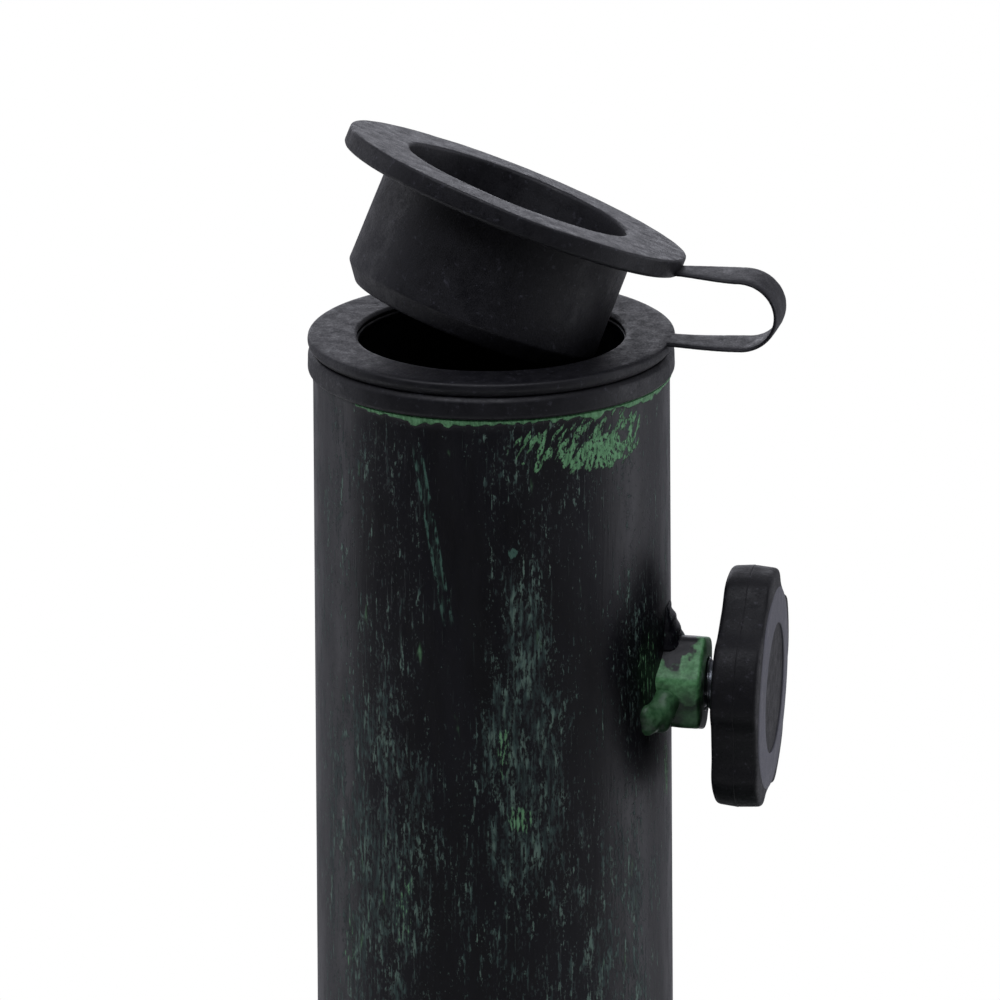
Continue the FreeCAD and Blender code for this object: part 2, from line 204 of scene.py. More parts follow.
class Shader:
    """A procedural material built on one Principled shader."""

    def __init__(self, name):
        self.material = bpy.data.materials.new(name)
        self.material.use_nodes = True
        self.tree = self.material.node_tree
        self.surface = self.tree.nodes["Principled BSDF"]
        self.position = self.add("ShaderNodeTexCoord").outputs["Object"]

    def add(self, kind, inputs=None, **settings):
        made = self.tree.nodes.new(kind)
        for key, value in settings.items():
            setattr(made, key, value)
        for key, value in (inputs or {}).items():
            self.plug(made.inputs[key], value)
        return made

    def plug(self, socket, value):
        if isinstance(value, bpy.types.NodeSocket):
            self.tree.links.new(value, socket)
        else:
            socket.default_value = value

    def math(self, operation, a, b=0.0, clamp=False):
        return self.add("ShaderNodeMath", {0: a, 1: b}, operation=operation, use_clamp=clamp).outputs[0]

    def stretched(self, x, y, z):
        """Position scaled by the given lumps per metre on each axis."""
        made = self.add("ShaderNodeVectorMath", {0: self.position, 1: (x, y, z)}, operation="MULTIPLY")
        return made.outputs[0]

    def noise(self, vector, detail=2.0, roughness=0.5, scale=1.0):
        made = self.add("ShaderNodeTexNoise", {
            "Vector": vector, "Scale": scale, "Detail": detail, "Roughness": roughness})
        return made.outputs["Fac"]

    def step(self, value, low, high):
        """0 below low, 1 above high, smooth between."""
        made = self.add("ShaderNodeMapRange", {"Value": value, "From Min": low, "From Max": high},
                        interpolation_type="SMOOTHSTEP")
        return made.outputs["Result"]

    def mix(self, share, a, b):
        made = self.add("ShaderNodeMix", data_type="RGBA")
        self.plug(made.inputs[0], share)
        self.plug(made.inputs[6], a)
        self.plug(made.inputs[7], b)
        return made.outputs[2]

    def blend(self, share, a, b):
        """Number between a and b."""
        made = self.add("ShaderNodeMix", data_type="FLOAT")
        self.plug(made.inputs[0], share)
        self.plug(made.inputs[2], a)
        self.plug(made.inputs[3], b)
        return made.outputs[0]

    def bump(self, height, distance, strength=1.0, before=None):
        inputs = {"Height": height, "Distance": distance, "Strength": strength}
        if before:
            inputs["Normal"] = before
        return self.add("ShaderNodeBump", inputs).outputs["Normal"]

    def finish(self, color, roughness, normal=None, **sockets):
        self.plug(self.surface.inputs["Base Color"], color)
        self.plug(self.surface.inputs["Roughness"], roughness)
        if normal:
            self.plug(self.surface.inputs["Normal"], normal)
        for key, value in sockets.items():
            self.surface.inputs[key.replace("_", " ")].default_value = value
        return self.material


def rgb(r, g, b):
    """Linear colour from display values 0-255."""
    def linear(c):
        c /= 255
        return c / 12.92 if c <= 0.04045 else ((c + 0.055) / 1.055) ** 2.4
    return (linear(r), linear(g), linear(b), 1.0)


def soft_plastic(name, dark, light, rough, grain_size, depth, specular=0.5, dish=None):
    """Moulded plastic: fine grain, cloudy patches, pale dust; dish is the radius of a recess painted
    near-black as shade, mm.
    """
    s = Shader(name)
    per_m = 1 / (grain_size * MM)
    fine = s.noise(s.stretched(per_m, per_m, per_m), detail=3, roughness=0.6)
    cloudy = s.noise(s.stretched(420, 420, 300), detail=4, roughness=0.7)
    slow = s.noise(s.stretched(60, 60, 60), detail=3)
    dust = s.noise(s.stretched(900, 900, 900), detail=4, roughness=0.7)
    tone = s.math("ADD", s.math("MULTIPLY", s.step(slow, 0.35, 0.7), 0.5),
                  s.math("MULTIPLY", s.step(cloudy, 0.4, 0.62), 0.5))
    color = s.mix(tone, dark, light)
    color = s.mix(s.math("MULTIPLY", s.step(dust, 0.57, 0.74), 0.5), color, rgb(84, 84, 94))
    if dish:
        split = s.add("ShaderNodeSeparateXYZ", {0: s.position})
        x, y = split.outputs[0], split.outputs[1]
        radius = s.math("SQRT", s.math("ADD", s.math("MULTIPLY", x, x), s.math("MULTIPLY", y, y)))
        dish_shade_mask = s.step(radius, (dish + 0.1) * MM, (dish - 0.1) * MM)
        # Painted shade: inside the dish radius the colour goes near-black to stand in for the shade in the
        # recess.
        color = s.mix(dish_shade_mask, color, rgb(9, 9, 12))
    roughness = s.blend(s.step(fine, 0.3, 0.7), rough - 0.06, rough + 0.1)
    roughness = s.math("ADD", roughness, s.math("MULTIPLY", s.math("SUBTRACT", cloudy, 0.5), 0.6))
    if dish:
        roughness = s.math("ADD", roughness, s.math("MULTIPLY", dish_shade_mask, 0.4))
    normal = s.bump(fine, depth * MM, before=s.bump(cloudy, depth * 2.2 * MM))
    return s.finish(color, roughness, normal, Specular_IOR_Level=specular)


def metal(name, color, rough, scratch=400.0):
    s = Shader(name)
    fine = s.noise(s.stretched(scratch, scratch, scratch), detail=4, roughness=0.65)
    tint = s.mix(s.step(fine, 0.35, 0.7), color, tuple(0.7 * c for c in color[:3]) + (1.0,))
    roughness = s.blend(s.step(fine, 0.3, 0.7), rough - 0.08, rough + 0.12)
    return s.finish(tint, roughness, s.bump(fine, 0.02 * MM), Metallic=1.0)


BLACK_PAINT = rgb(9, 9, 14)
DUSTY_BLACK = rgb(18, 18, 26)
GREY_GREEN = rgb(74, 100, 95)
PALE_GREEN = rgb(118, 146, 132)
BRIGHT_GREEN = rgb(134, 198, 142)

# Where the brush left more: degrees from -Y towards +X, height, half sizes, weight
BRUSHED = [(18, 278, 17, 30, 0.8), (12, 256, 24, 24, 0.4), (-34, 252, 28, 34, 0.75), (48, 238, 26, 26, 0.5),
           (60, 284, 10, 16, 0.5), (-36, 303, 18, 24, 0.2), (-4, 296, 11, 44, -0.5), (42, 300, 16, 12, -0.4)]
# Where thicker green was left
SMEARED = [(11.5, 271.5, 3, 4.5, 0.8), (17, 261.0, 5, 2.6, 0.9), (84, 263, 4, 6, 0.9), (68, 281, 7, 7, 0.45),
           (-22, 246, 4, 9, 0.4), (-46, 238, 4, 6, 0.35), (160, 250, 20, 16, 0.6), (-130, 285, 22, 18, 0.5)]


def tube_paint():
    """Black paint with grey-green flecks dragged down the tube by a dry brush, bright green at the lip."""
    s = Shader("tube_paint")
    split = s.add("ShaderNodeSeparateXYZ", {0: s.position})
    x, y, z = split.outputs[0], split.outputs[1], split.outputs[2]
    height = s.math("MULTIPLY", z, 1000.0)
    turn = s.math("MULTIPLY", s.math("ARCTAN2", x, s.math("MULTIPLY", y, -1.0)), 180 / math.pi)

    def zone(centre, z_mid, half_width, half_height, weight):
        """Soft oval on the wall."""
        across = s.math("DIVIDE", s.math("SUBTRACT", turn, centre), half_width)
        along = s.math("DIVIDE", s.math("SUBTRACT", height, z_mid), half_height)
        square = s.math("ADD", s.math("MULTIPLY", across, across), s.math("MULTIPLY", along, along))
        return s.math("MULTIPLY", s.step(square, 1.3, 0.1), weight)

    cluster = s.noise(s.stretched(150, 150, 42), detail=4, roughness=0.65)
    threads = s.noise(s.stretched(2900, 2900, 120), detail=3, roughness=0.55)
    flecks = s.noise(s.stretched(1900, 1900, 600), detail=3, roughness=0.65)
    specks = s.noise(s.stretched(2600, 2600, 1500), detail=2, roughness=0.6)
    slow = s.noise(s.stretched(330, 330, 90), detail=3, roughness=0.6)

    favour = s.math("ADD", s.math("MULTIPLY", s.step(cluster, 0.34, 0.66), 0.5), 0.22)
    for spot in BRUSHED:
        favour = s.math("ADD", favour, zone(*spot))
    favour = s.math("MULTIPLY", favour, s.step(slow, 0.22, 0.6))
    favour = s.math("MINIMUM", favour, 1.1)
    marks = s.math("ADD", s.math("MULTIPLY", threads, 0.4), s.math("MULTIPLY", flecks, 0.6))
    limit = s.math("SUBTRACT", 0.632, s.math("MULTIPLY", favour, 0.15))
    brushed = s.step(s.math("SUBTRACT", marks, limit), 0.0, 0.06)
    dots = s.math("SUBTRACT", specks, s.math("SUBTRACT", 0.685, s.math("MULTIPLY", favour, 0.14)))
    dots = s.step(dots, 0.0, 0.05)
    scratches = s.math("SUBTRACT", threads, s.math("SUBTRACT", 0.70, s.math("MULTIPLY", cluster, 0.09)))
    scratches = s.step(scratches, 0.0, 0.05)
    brushed = s.math("MAXIMUM", brushed, s.math("MULTIPLY", dots, 0.8))
    brushed = s.math("MAXIMUM", brushed, s.math("MULTIPLY", scratches, 0.7))
    faint = s.noise(s.stretched(900, 900, 160), detail=2, roughness=0.6)
    worn = s.math("MULTIPLY", s.blend(s.step(flecks, 0.4, 0.66), 0.35, 1.0),
                  s.blend(s.step(faint, 0.35, 0.62), 0.4, 1.0))
    color = s.mix(s.step(cluster, 0.3, 0.7), BLACK_PAINT, DUSTY_BLACK)
    pale = s.mix(s.step(faint, 0.45, 0.68), GREY_GREEN, PALE_GREEN)
    color = s.mix(s.math("MULTIPLY", brushed, worn), color, pale)

    smear = 0.0
    for spot in SMEARED:
        smear = s.math("ADD", zone(*spot), smear)
    smeared = s.step(s.math("ADD", s.math("MULTIPLY", smear, 0.15), marks), 0.60, 0.68)
    smeared = s.math("MULTIPLY", smeared, s.step(smear, 0.02, 0.3))

    lean = s.add("ShaderNodeCombineXYZ", {
        0: s.math("ADD", s.math("MULTIPLY", turn, 0.38), s.math("MULTIPLY", height, -0.42)),
        1: s.math("MULTIPLY", s.math("ADD", height, s.math("MULTIPLY", turn, 0.2)), 0.26)}).outputs[0]
    strokes = s.noise(lean, detail=4, roughness=0.6)
    patch = s.math("ADD", zone(42, 319.2, 29, 4.8, 0.8), zone(47, 316.9, 17, 2.7, 1.15))
    patch = s.math("ADD", patch, zone(22, 318.0, 8, 4.0, 0.2))
    dabs = s.step(s.math("ADD", s.math("MULTIPLY", patch, 0.14), strokes), 0.61, 0.66)
    dabs = s.math("MULTIPLY", dabs, s.step(patch, 0.05, 0.3))
    dabs = s.math("MULTIPLY", dabs, s.step(specks, 0.36, 0.5))

    slant = s.math("SUBTRACT", 104.9, s.math("MULTIPLY", height, 0.38))
    run = s.math("ABSOLUTE", s.math("SUBTRACT", turn, slant))
    line = s.math("MULTIPLY", s.step(run, 2.1, 1.6), s.blend(s.step(run, 0.5, 1.2), 0.15, 1.0))
    ends = s.math("MULTIPLY", s.step(height, 290.5, 295.0), s.step(height, 320.0, 315.0))
    line = s.math("MULTIPLY", s.math("MULTIPLY", line, ends), s.step(marks, 0.47, 0.55))
    pale_spot = s.step(s.math("ADD", zone(15, 303.0, 1.9, 1.1, 0.3), marks), 0.70, 0.78)
    line = s.math("MAXIMUM", line, pale_spot)
    color = s.mix(s.math("MULTIPLY", line, 0.75), color, rgb(92, 134, 118))

    lip = s.add("ShaderNodeAttribute", attribute_name="paint", attribute_type="GEOMETRY").outputs["Fac"]
    lip = s.step(s.math("ADD", lip, s.math("MULTIPLY", s.math("SUBTRACT", slow, 0.5), 1.2)), 0.2, 0.4)
    bright = s.math("MAXIMUM", lip, s.math("MAXIMUM", dabs, s.math("MULTIPLY", smeared, 0.8)))
    tint = s.mix(s.step(flecks, 0.35, 0.62), rgb(90, 146, 98), BRIGHT_GREEN)
    color = s.mix(bright, color, tint)
    roughness = s.blend(s.math("MAXIMUM", brushed, bright), s.blend(s.step(slow, 0.3, 0.7), 0.34, 0.46), 0.6)
    raised = s.math("ADD", s.math("MULTIPLY", brushed, 0.5), bright)
    normal = s.bump(raised, 0.10 * MM, before=s.bump(threads, 0.02 * MM))
    return s.finish(color, roughness, normal, Specular_IOR_Level=0.45)


def brushed_iron():
    """Cast iron under black paint, with green rubbed onto whatever stands proud."""
    s = Shader("cast_iron")
    sand = s.noise(s.stretched(1100, 1100, 1100), detail=4, roughness=0.65)
    patches = s.noise(s.stretched(34, 34, 34), detail=4, roughness=0.6)
    streaks = s.noise(s.stretched(420, 420, 420), detail=4, roughness=0.7)
    proud = s.add("ShaderNodeAttribute", attribute_name="proud", attribute_type="GEOMETRY").outputs["Fac"]
    rub = s.math("ADD", s.math("MULTIPLY", proud, 0.42), s.math("MULTIPLY", patches, 0.55))
    rub = s.math("ADD", rub, s.math("MULTIPLY", streaks, 0.5))
    green = s.step(rub, 0.74, 0.98)
    color = s.mix(s.step(patches, 0.35, 0.65), BLACK_PAINT, DUSTY_BLACK)
    rubbed = s.mix(s.step(streaks, 0.4, 0.65), GREY_GREEN, BRIGHT_GREEN)
    color = s.mix(s.math("MULTIPLY", green, 0.85), color, rubbed)
    normal = s.bump(sand, 0.16 * MM, before=s.bump(green, 0.08 * MM))
    roughness = s.blend(sand, 0.42, 0.7)
    return s.finish(color, roughness, normal)


def nut_paint():
    """Thick green paint with darker patches at random, the lower face darkened as painted shade, and black
    left in a patch on the top.
    """
    s = Shader("nut_paint")
    split = s.add("ShaderNodeSeparateXYZ", {0: s.position})
    patches = s.noise(s.stretched(240, 240, 240), detail=3, roughness=0.5)
    fine = s.noise(s.stretched(1100, 1100, 1100), detail=3, roughness=0.6)
    color = s.mix(s.step(fine, 0.3, 0.7), rgb(84, 148, 92), rgb(130, 198, 136))
    shade = s.math("MULTIPLY", s.step(patches, 0.5, 0.72), 0.75)
    color = s.mix(shade, color, rgb(30, 44, 32))
    wave = s.math("MULTIPLY", s.math("SUBTRACT", patches, 0.5), 0.010)
    high = s.math("ADD", s.math("MULTIPLY", split.outputs[0], -1.0), wave)
    near = s.math("ADD", s.math("MULTIPLY", split.outputs[2], -1.0), wave)
    # Painted shade: the nut's lower face (local +X, which points down) is coloured dark green to stand in for
    # shade.
    under = s.math("MULTIPLY", s.step(high, 0.0004, -0.0006), s.blend(s.step(patches, 0.4, 0.6), 0.6, 0.9))
    color = s.mix(under, color, rgb(30, 46, 34))
    black = s.math("MULTIPLY", s.step(high, 0.0044, 0.0049), s.step(near, -0.0068, -0.0063))
    color = s.mix(black, color, rgb(13, 14, 18))
    normal = s.bump(patches, 0.25 * MM, before=s.bump(fine, 0.03 * MM))
    return s.finish(color, s.blend(fine, 0.35, 0.5), normal)


MATERIALS = {
    "cast_iron": brushed_iron(),
    "tube_paint": tube_paint(),
    "nut_paint": nut_paint(),
    "bare_steel": metal("bare_steel", rgb(150, 150, 150), 0.36),
    "zinc_steel": metal("zinc_steel", rgb(175, 178, 182), 0.3),
    "black_plastic": soft_plastic("black_plastic", rgb(16, 16, 21), rgb(22, 22, 28), 0.48, 0.35, 0.02),
    "cap_rubber": soft_plastic("cap_rubber", rgb(16, 16, 21), rgb(23, 23, 29), 0.5, 0.3, 0.02),
    "rubber": soft_plastic("rubber", rgb(18, 18, 18), rgb(26, 26, 26), 0.7, 0.6, 0.03),
    "nylon": soft_plastic("nylon", rgb(200, 198, 190), rgb(215, 213, 205), 0.5, 0.5, 0.01),
    "knob_plastic": soft_plastic("knob_plastic", rgb(14, 14, 18), rgb(20, 20, 24), 0.55, 0.25, 0.03, 0.4),
    "face_plastic": soft_plastic("face_plastic", rgb(92, 92, 100), rgb(108, 108, 118), 0.5, 0.25, 0.03,
                                 dish=9.9),
}


def dress(obj, slot):
    obj.data.materials.clear()
    obj.data.materials.append(MATERIALS[slot])


for part in frame["record"]["subparts"]:
    dress(NODES[part["node"]], part["material_slot"])


# ---------------------------------------------------------------- pieces

def place(obj, matrix, slot, body, *nodes):
    """Puts a piece in the frame, gives it its finish and lets it stand for its CAD nodes."""
    obj.matrix_world = matrix
    dress(obj, slot)
    if body:
        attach(obj, body)
    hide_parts(*nodes)
    return obj


def clamp_matrix(x):
    """Frame whose +Z runs along the clamp's axis, at the distance x (millimetres) from the tube's axis."""
    droop = math.radians(CLAMP_DROOP)
    point = Vector((x * math.cos(droop), 0, CLAMP_Z - x * math.sin(droop))) * MM
    return Matrix.Translation(point) @ Matrix.Rotation(math.radians(90) + droop, 4, "Y")


def cap_matrix():
    a = math.radians(CAP_TILT_AZIMUTH)
    top = Vector((CAP_OFFSET * math.cos(a), CAP_OFFSET * math.sin(a), MOUTH_Z + CAP_RISE)) * MM
    return Matrix.Translation(top) @ Matrix.Rotation(
        math.radians(CAP_TILT), 4, Vector((-math.sin(a), math.cos(a), 0)))


def rain_cap():
    """Soft moulded plug: flange, slightly flared wall, bevelled end and the finger cup."""
    tip, bevel = -22.1, -19.2
    outline = fillet([
        (0.0, tip, 0), (17.8, tip, 0.5), (20.0, bevel, 0.3), (19.85, -CAP_T - 0.55, 0.2),
        (20.15, -CAP_T, 0.25), (CAP_R - 0.75, -CAP_T, 0.05), (CAP_R - 0.65, -CAP_T - 0.12, 0.04),
        (CAP_R - 0.35, -CAP_T, 0.1), (CAP_R, -CAP_T + 0.35, 0.3), (CAP_R, -0.1, 0.45), (17.7, 0.05, 0.6),
        (16.4, tip + 2.1, 1.4), (0.0, tip + 2.1, 0)], closed=False)
    outline = densify(outline, 1.1, closed=False)

    def shape(a, r, z):
        p = (r * math.cos(a), r * math.sin(a), z)
        soft = grain(p, 13.0) * 0.12 + grain(p, 3.5) * 0.03
        if -18 < z < -CAP_T - 0.05:
            soft *= 0.4
        lift = soft * 1.1 if z > -CAP_T + 0.4 else abs(soft) if z > -CAP_T - 0.2 else 0.0
        return (max(0.0, r + soft * min(1.0, r / 10)), z + lift * min(1.0, r / 10))

    cap = lathe("rain_cap_detail", outline, 256, closed=False, shape=shape)
    place(cap, cap_matrix(), "cap_rubber", "cap", "rain_cap")


def collar():
    """Flange of the reducer and the soft tether ring on it, a dark gap between them."""
    top = MOUTH_Z
    sleeve = densify(fillet([
        (22.7, top - 2.4, 0.1), (27.15, top - 2.4, 0.3), (27.75, top - 3.1, 0.35), (27.8, top - 5.5, 0.35),
        (27.5, top - 5.9, 0.15), (24.9, top - 5.9, 0.1), (24.9, top - 44, 0.2), (23.9, top - 46, 0.3),
        (20.05, top - 46, 0.2), (19.25, top - 45.2, 0.2), (19.25, top - 24.9, 0.5),
        (22.7, top - 21.5, 0.5)]), 2.0)

    def sleeve_shape(a, r, z):
        p = (r * math.cos(a), r * math.sin(a), z)
        return (r + grain(p, 16.0) * 0.05, z + (grain(p, 20.0) * 0.06 if r > 25 else 0.0))

    ring = densify(fillet([
        (20.35, top - 2.35, 0.1), (27.0, top - 2.35, 0.25), (27.4, top - 1.95, 0.2), (27.85, top - 1.2, 0.4),
        (27.75, top - 0.15, 0.45), (27.0, top, 0.4), (20.75, top - 0.02, 0.25), (20.25, top - 0.45, 0.2),
        (20.35, top - 1.0, 0.1), (20.15, top - 1.15, 0.08), (20.15, top - 1.5, 0.08),
        (20.35, top - 1.7, 0.15)]), 0.9)

    def ring_shape(a, r, z):
        p = (r * math.cos(a), r * math.sin(a), z)
        wave = grain(p, 15.0) * 0.12 - 0.13
        nick = grain((p[0], p[1], 7.0), 2.2) * 0.09 if r < 20.5 else 0.0
        return (r + grain(p, 9.0) * 0.05 + nick, z + wave * min(1.0, (z - top + 2.4) / 1.2))

    whole = Matrix.Identity(4)
    sleeve = lathe("reducer_detail", sleeve, 224, shape=sleeve_shape)
    place(sleeve, whole, "black_plastic", "collar", "reducer_sleeve")
    ring = lathe("tether_ring_detail", ring, 256, shape=ring_shape)
    place(ring, whole, "cap_rubber", "collar", "tether_ring")


def ribbon(name, path, widths, thickness, body, *nodes):
    """Flat moulded strap along (x, z) points in the strap's plane, half round at both sides."""
    turn = math.radians(COLLAR_TURN)
    around = 20
    verts = []
    count = len(path)
    for i, (x, z) in enumerate(path):
        before, after = path[max(0, i - 1)], path[min(count - 1, i + 1)]
        run = Vector((after[0] - before[0], after[1] - before[1])).normalized()
        normal = Vector((-run.y, run.x))
        half_w, half_t = widths[i] / 2, thickness / 2
        for k in range(around):
            a = 2 * math.pi * k / around
            c, s = math.cos(a), math.sin(a)
            y = half_w * math.copysign(abs(c) ** 0.35, c)
            h = half_t * math.copysign(abs(s) ** 0.6, s)
            h *= 1.0 + 0.10 * grain((x * 1.6, y * 0.25, z * 1.6), 0.7)
            px, pz = x + normal.x * h, z + normal.y * h
            verts.append((px * math.cos(turn) - y * math.sin(turn),
                          px * math.sin(turn) + y * math.cos(turn), pz))
    faces = []
    for i in range(count - 1):
        for k in range(around):
            j = (k + 1) % around
            faces.append((i * around + k, i * around + j, (i + 1) * around + j, (i + 1) * around + k))
    faces.append(tuple(reversed(range(around))))
    faces.append(tuple(range((count - 1) * around, count * around)))
    strap = mesh_object(name, verts, faces, 60.0)
    return place(strap, Matrix.Identity(4), "cap_rubber", body, *nodes)


def strap_point(t):
    """Centreline of the tether from the ring (t = 0) round the bend (t = 1 to 2) to the cap (t = 3)."""
    low, high = MOUTH_Z + 0.05, MOUTH_Z + 10.75
    middle = (low + high) / 2
    if t < 1:
        sag = math.sin(math.pi * t) * 0.12
        return (STRAP_ROOT_X + (BEND_X - STRAP_ROOT_X) * t, low - sag)
    if t <= 2:
        a = math.radians(-90 + 180 * (t - 1))
        return (BEND_X + BEND_R * math.cos(a), middle + (high - low) / 2 * math.sin(a))
    u = t - 2
    return (BEND_X - (BEND_X - 27.0) * u, high + 0.3 * math.sin(math.pi * u / 2) ** 2)


def strap():
    """The tether in three lengths: on the ring, round the bend and on the cap."""
    def length(t0, t1, steps):
        ts = [t0 + (t1 - t0) * k / steps for k in range(steps + 1)]
        grow = [min(1.0, t, 3 - t) for t in ts]
        ends = [5.8 if t < 1.5 else 4.2 for t in ts]
        widths = [end + (8.0 - end) * g * g * (3 - 2 * g) for end, g in zip(ends, grow)]
        return [strap_point(t) for t in ts], widths

    path, widths = length(0.0, 1.0, 30)
    ribbon("strap_lower_detail", path, widths, STRAP_T, "collar", "strap_lower")
    path, widths = length(1.0, 2.0, 48)
    bend = ribbon("strap_bend_detail", path, widths, STRAP_T, None, "strap_bend")
    path, widths = length(2.0, 3.0, 30)
    upper = ribbon("strap_upper_detail", path, widths, STRAP_T, None, "strap_upper")
    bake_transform(bend)
    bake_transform(upper)


def knob_radius(a):
    """Star outline: five broad lobes with shallow hollows between them."""
    lobe = math.cos(KNOB_LOBES * (a - math.radians(KNOB_TURN)))
    share = 0.5 + 0.5 * math.tanh(2.1 * (lobe + 0.25)) / math.tanh(2.1 * 1.25)
    return KNOB_R - KNOB_LOBE_DEPTH * (1 - share)


def knob():
    """Lobed grip with soft edges and a parting line, and the dished disc in its front."""
    t = KNOB_T + 0.05
    profile = [(100.0, 1.6), (96.2, 1.6), (95.9, 0.05), (94.0, 0.0)]
    outer = fillet([(6.0, 0.0, 0), (0.35, 0.0, 0.9), (0.0, t / 2 - 0.12, 0.05), (0.09, t / 2, 0.05),
                    (0.05, t / 2 + 0.12, 0.05), (0.3, t - 0.15, 0.75), (2.6, t, 0.3), (3.6, t + 0.05, 0)],
                   closed=False)
    profile += densify(outer, 0.8, closed=False)
    profile += [(100 - 15.55, t), (100 - 15.5, t - 2.3), (100 - 0.0, t - 2.3)]
    grip = loft("knob_grip_detail", knob_radius, profile, 300)
    place(grip, clamp_matrix(KNOB_FACE_X), "knob_plastic", "knob", "knob_grip")
    disc = densify(fillet([
        (0.0, t - 2.2, 0), (15.4, t - 2.2, 0.1), (15.45, t + 0.0, 0.15), (15.1, t + 0.15, 0.2),
        (9.95, t + 0.32, 0.25), (9.7, t - 1.4, 0.3), (6.0, t - 1.65, 2.0), (0.0, t - 1.7, 0)], closed=False),
        0.8, closed=False)
    face = lathe("knob_face_detail", disc, 160, closed=False)
    place(face, clamp_matrix(KNOB_FACE_X), "face_plastic", "knob", "knob_face")


def stud():
    """M8 screw: rolled thread along the shank, a turned nose."""
    pitch, crest, depth = 1.25, 3.97, 0.62
    start, end = STUD_TIP_X, KNOB_FACE_X + 1.6
    rows = int((end - start) / (pitch / 10))
    segments = 48
    verts = []
    for i in range(rows + 1):
        z = (end - start) * i / rows
        for k in range(segments):
            a = 2 * math.pi * k / segments
            phase = (z / pitch - k / segments) % 1.0
            groove = max(0.0, min(1.0, (abs(phase - 0.5) * 2 - 0.12) / 0.76))
            r = min(crest - depth * groove, 3.0 + z * 1.0)
            verts.append((r * math.cos(a), r * math.sin(a), z))
    faces = []
    for i in range(rows):
        for k in range(segments):
            j = (k + 1) % segments
            faces.append((i * segments + k, i * segments + j, (i + 1) * segments + j, (i + 1) * segments + k))
    faces.append(tuple(reversed(range(segments))))
    faces.append(tuple(range(rows * segments, (rows + 1) * segments)))
    place(mesh_object("clamp_stud_detail", verts, faces, 50.0), clamp_matrix(start), "zinc_steel", "knob",
          "clamp_stud")


def hexagon_radius(a):
    """Hexagon with rounded corners, its painted size across the flats."""
    flat = NUT_AF / 2
    turned = (a - math.radians(NUT_TURN)) % (math.pi / 3) - math.pi / 6
    sharp = flat / math.cos(turned)
    soft = flat * 1.115
    k = 0.22
    h = max(0.0, min(1.0, 0.5 + 0.5 * (soft - sharp) / k))
    return soft + (sharp - soft) * h - k * h * (1 - h)


def nut():
    """Weld nut under thick paint: rounded corners, a softened face and the threaded hole."""
    front = NUT_FACE_X - NUT_BACK_X
    outer = fillet([(0.0, 0.0, 0), (0.0, front - 1.0, 0), (0.05, front - 0.25, 0.9), (1.3, front + 0.02, 0.6),
                    (2.7, front + 0.1, 0)], closed=False)
    profile = densify(outer, 0.5, closed=False) + [(100 - 4.25, front + 0.1), (100 - 4.05, front - 0.25),
                                                   (100 - 4.05, 0.0)]
    body = loft("weld_nut_detail", hexagon_radius, profile, 192)
    for vertex in body.data.vertices:
        p = vertex.co / MM
        r = math.hypot(p.x, p.y)
        if r > 5.0:
            swell = 1 + (grain(p, 4.0) * 0.14 + grain(p, 1.2) * 0.05) / r
            vertex.co.x *= swell
            vertex.co.y *= swell
    place(body, clamp_matrix(NUT_BACK_X), "nut_paint", "base", "weld_nut")


def blob(name, lumps, size, slot, *nodes):
    """Weld metal as one skin over the balls (x, y, z, radius), size being its grid step, millimetres."""
    work = bmesh.new()
    for x, y, z, r in lumps:
        bmesh.ops.create_icosphere(work, subdivisions=3, radius=r * MM,
                                   matrix=Matrix.Translation(Vector((x, y, z)) * MM))
    mesh = bpy.data.meshes.new(name)
    work.to_mesh(mesh)
    work.free()
    made = bpy.data.objects.new(name, mesh)
    bpy.context.scene.collection.objects.link(made)
    skin = made.modifiers.new("skin", "REMESH")
    skin.mode, skin.voxel_size = "VOXEL", size * MM
    melt = made.modifiers.new("melt", "SMOOTH")
    melt.factor, melt.iterations = 0.8, 8
    made.data = bpy.data.meshes.new_from_object(made.evaluated_get(bpy.context.evaluated_depsgraph_get()))
    made.modifiers.clear()
    for polygon in made.data.polygons:
        polygon.use_smooth = True
    for vertex in made.data.vertices:
        p = vertex.co / MM
        vertex.co += vertex.normal * (grain(p, 2.2) * 0.22 + grain(p, 0.8) * 0.06) * MM
    place(made, Matrix.Identity(4), slot, "base", *nodes)


def weld_web():
    """Web of weld that runs from the tube down onto the nut's top."""
    top = CLAMP_Z + NUT_AF / 2 - 0.1
    rows, across = 26, 24
    verts = []
    for i in range(rows + 1):
        t = i / rows
        half = 1.9 + 2.0 * t ** 0.8
        out = 0.15 + 2.3 * t ** 1.08
        z = top + 4.7 - 5.6 * t
        for k in range(across):
            a = 2 * math.pi * k / across
            y = half * math.cos(a)
            wall = math.sqrt(TUBE_R ** 2 - y ** 2)
            swell = out * max(0.0, math.sin(a)) ** 0.7 if math.sin(a) > 0 else 1.6 * math.sin(a)
            ripple = 0.12 * math.sin(t * 21 + 0.35 * y) * max(0.0, math.sin(a))
            x = wall + swell + ripple + grain((wall, y, z), 1.6) * 0.18
            verts.append((x, y - 0.4, z - 0.16 * y * y * 0.35))
    faces = []
    for i in range(rows):
        for k in range(across):
            j = (k + 1) % across
            faces.append((i * across + k, (i + 1) * across + k, (i + 1) * across + j, i * across + j))
    faces.append(tuple(range(across)))
    faces.append(tuple(reversed(range(rows * across, (rows + 1) * across))))
    web = mesh_object("weld_upper_detail", verts, faces, 50.0)
    place(web, Matrix.Identity(4), "tube_paint", "base", "weld_bead_upper")


def welds():
    """The web above the nut, and the blob at its lower front corner."""
    weld_web()
    low = [(27.2, -6.6, CLAMP_Z - 2.2, 2.3), (26.6, -7.6, CLAMP_Z - 3.4, 2.5),
           (25.8, -8.8, CLAMP_Z - 3.5, 2.2), (24.9, -10.4, CLAMP_Z - 3.4, 1.8),
           (25.0, -9.9, CLAMP_Z - 4.7, 1.9), (26.6, -7.9, CLAMP_Z - 4.9, 2.0)]
    blob("weld_lower_detail", low, 0.25, "nut_paint", "weld_bead_lower")


